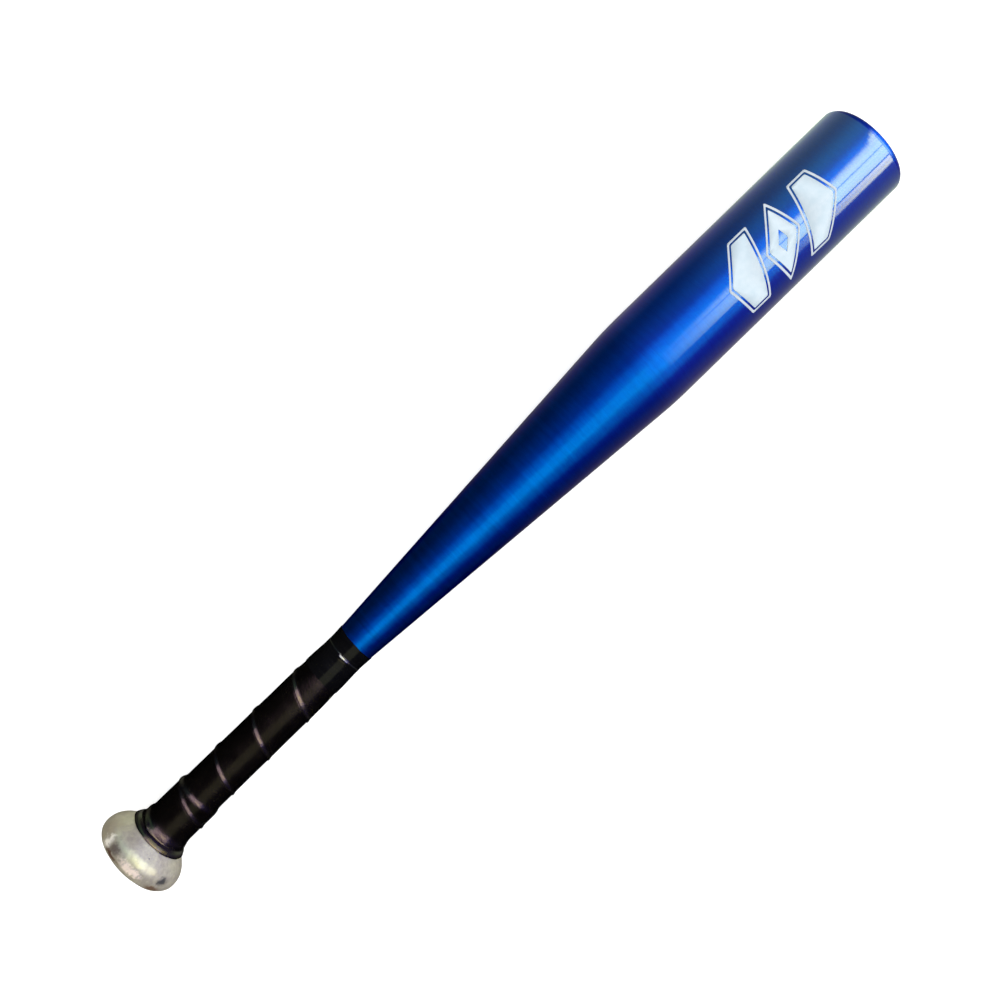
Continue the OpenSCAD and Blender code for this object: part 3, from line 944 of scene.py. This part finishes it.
def studio():
    """Even white light all round for matt surfaces. Reflections see a dim room that depends only
    on direction: coloured glows and a bright window past the barrel end, cards past the knob."""
    world = bpy.data.worlds.new("studio")
    bpy.context.scene.world = world
    world.use_nodes = True
    world.cycles.sampling_method = "NONE"
    m = Nodes("studio", world.node_tree)
    sep = m.add("ShaderNodeSeparateXYZ")
    m.link(m.add("ShaderNodeTexCoord").outputs["Generated"], sep.inputs[0])
    x, y, z = sep.outputs
    # angle round the bat's axis in degrees, 0 overhead and growing towards -Y
    turn = m.product(m.math("ARCTAN2", m.product(y, -1.0), z), 180 / math.pi)

    # dim blue light that grows towards the barrel end
    glow = m.product(m.bell(turn, 28.0, 58.0), m.map(x, -0.07, 0.20, 0.0, 2.6))
    faint = m.product(m.map(x, 0.02, 0.32, 0.0, 0.9), m.map(z, -0.6, 0.0))
    faint = m.product(faint, m.map(turn, -95.0, -45.0, 0.4, 1.0))
    glow = m.math("ADD", glow, faint)
    # greenish haze all round, in a band that leans towards the barrel end
    haze = m.map(turn, 50.0, 90.0, 0.60, 0.38)
    haze = m.product(m.band(x, 0.22, 0.42, 0.5, 0.62), haze)
    # teal patch on the +Y side
    sky = m.product(m.bell(turn, -34.0, 30.0), m.band(x, 0.16, 0.40, 0.45, 0.54))
    # warm white: light from below, a card beyond the knob and a weak panel above it
    below = m.product(m.map(z, 0.05, -0.7, 0.0, 0.36), m.map(x, -0.1, 0.20))
    card = m.product(m.map(x, -0.65, -0.8, 0.0, 1.0, "SMOOTHSTEP"), 0.5)
    card = m.product(card, m.band(turn, -100.0, -50.0, 75.0, 125.0))
    panel = m.map(x, -0.60, -0.48, 0.42, 0.0)
    panel = m.product(m.band(turn, -4.0, 6.0, 44.0, 54.0), panel)

    # the window: two panes with a thin bar across the first, lit unevenly
    bar = m.math("SUBTRACT", 1.0, m.product(m.bell(turn, 23.5, 1.3), 0.8))
    across = m.add("ShaderNodeCombineXYZ")
    m.link(m.product(turn, 0.22), across.inputs[0])
    m.link(m.product(x, 1.5), across.inputs[1])
    uneven = m.map(m.noise(across.outputs[0], 1.0, 3.0, 0.6), 0.3, 0.7, 0.82, 1.12)
    # the first pane's upper edge slants, and flares at its far end
    start = m.math("MULTIPLY_ADD", x, -75.0, 24.5)
    start = m.math("SUBTRACT", start, m.map(x, 0.41, 0.46, 0.0, 12.0))
    pane_a = m.band(m.math("SUBTRACT", turn, start), 0.0, 16.0, 100.0, 120.0)
    pane_a = m.product(pane_a, m.product(m.map(turn, 46.8, 50.0, 1.0, 0.0), bar))
    pane_a = m.product(pane_a, m.band(x, 0.16, 0.38, 0.455, 0.50), uneven, 12.0)
    pane_b = m.band(turn, 49.8, 53.0, 66.0, 73.0)
    pane_b = m.product(pane_b, m.band(x, 0.30, 0.42, 0.455, 0.50), uneven, 14.0)
    # a brighter patch past the window, seen by the rolled corner of the barrel end
    beyond = m.band(y, -0.74, -0.56, 0.05, 0.36)
    beyond = m.product(beyond, m.band(x, 0.42, 0.56, 0.78, 0.89), m.map(z, 0.12, 0.42))

    def tinted(strength, colour):
        n = m.add("ShaderNodeVectorMath", operation="SCALE")
        n.inputs[0].default_value = colour
        m.value(n.inputs["Scale"], strength)
        return n.outputs[0]

    def plus(a, b):
        n = m.add("ShaderNodeVectorMath", operation="ADD")
        m.link(a, n.inputs[0])
        m.link(b, n.inputs[1])
        return n.outputs[0]

    white = m.math("ADD", m.math("ADD", card, panel), below)
    seen = plus(tinted(glow, (0.06, 0.035, 0.44)), tinted(haze, (0.88, 1.30, 0.74)))
    seen = plus(seen, tinted(sky, (0.0, 0.98, 0.48)))
    seen = plus(seen, tinted(white, (1.0, 0.96, 0.88)))
    seen = plus(seen, tinted(beyond, (4.3, 5.1, 4.3)))
    seen = plus(seen, tinted(pane_a, (0.93, 1.0, 0.13)))
    seen = plus(seen, tinted(pane_b, (0.93, 0.88, 0.34)))
    path = m.add("ShaderNodeLightPath")
    background = world.node_tree.nodes["Background"]
    colour = m.mix(path.outputs["Is Glossy Ray"], rgb(AMBIENT, AMBIENT, AMBIENT), seen)
    m.link(colour, background.inputs[0])


LAMP_HEIGHT = 3.0
# spans of the blue fills, which take the yellow out of the window as leather and knob show it
FILL_X, FILL_Y = (0.6, 2.1), (-3.5, -1.3)
# panels that light only some pieces: name, spans in x and y, colour, radiance, pieces
LAMPS = [
    ("tube_panel", (-1.7, 0.35), (-2.3, -0.60), (0.0, 1.0, 0.88), 0.72, (tube,)),
    ("grip_panel", (-2.2, 0.0), (-3.2, -0.15), (0.88, 1.0, 0.98), 0.40, (band, spiral, tape)),
    ("seam_panel", (0.1, 1.5), (-2.9, 1.6), (0.62, 0.50, 1.0), 9.5, (band, spiral)),
    ("grip_fill", FILL_X, FILL_Y, (0.0, 0.0, 1.0), 17.0, (band, spiral, tape)),
    ("knob_fill", FILL_X, FILL_Y, (0.0, 0.0, 1.0), 7.0, (knob,)),
    ("tape_panel", (0.55, 1.9), (-1.8, 1.4), (0.60, 0.67, 1.0), 30.0, (tape,)),
]


def part_lamp(name, x, y, colour, radiance, parts):
    """A panel high over the bat that lights only the parts given; its spans are in metres."""
    li = bpy.data.lights.new(name, "AREA")
    li.shape = "RECTANGLE"
    li.size, li.size_y = x[1] - x[0], y[1] - y[0]
    li.color = colour
    li.energy = radiance * math.pi * li.size * li.size_y
    ob = bpy.data.objects.new(name, li)
    bpy.context.collection.objects.link(ob)
    ob.location = ((x[0] + x[1]) / 2, (y[0] + y[1]) / 2, LAMP_HEIGHT)
    ob.visible_camera = False
    lit = bpy.data.collections.new(name + "_receivers")
    for part in parts:
        lit.objects.link(part)
    ob.light_linking.receiver_collection = lit


softbox()
for lamp in LAMPS:
    part_lamp(*lamp)
studio()

# ---------------------------------------------------------------- camera

# fitted to the photograph: the focal length in mm, the place in metres, the turn in degrees
FOCAL, SENSOR = 40.93, 36.0
EYE = (0.00175, 0.00087, AXIS_Z / 1000 + 0.6017)
CAMERA_TURN = -44.23

cam = bpy.data.cameras.new("camera")
cam.lens = FOCAL
cam.sensor_width = SENSOR
cam_ob = bpy.data.objects.new("camera", cam)
bpy.context.collection.objects.link(cam_ob)
cam_ob.location = EYE
cam_ob.rotation_euler = (0, 0, math.radians(CAMERA_TURN))
bpy.context.scene.camera = cam_ob
bpy.context.scene.view_settings.view_transform = "Standard"
